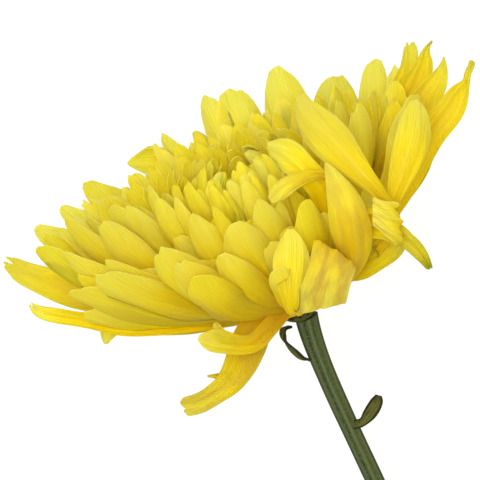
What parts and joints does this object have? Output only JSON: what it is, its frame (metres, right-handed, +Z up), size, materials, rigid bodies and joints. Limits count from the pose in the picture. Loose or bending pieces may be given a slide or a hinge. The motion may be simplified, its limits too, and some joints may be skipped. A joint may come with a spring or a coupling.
{
  "type": "disbud chrysanthemum",
  "caption": "One cut yellow disbud chrysanthemum with a wide incurved bloom and a ribbed green stem, lying on its side.",
  "frame": {"origin": "middle of the footprint, at the surface that the flower lies on", "axes": "+X along the stem towards the bloom, +Z up"},
  "size_m": [0.1974, 0.1308, 0.1015],
  "materials": {
    "petal_yellow": "satin",
    "bract_green": "matte",
    "stem_green": "satin"
  },
  "bodies": {
    "root": {"bloom": "petal_yellow", "involucre": "bract_green", "leafy_stem": "stem_green"}
  },
  "joints": []
}
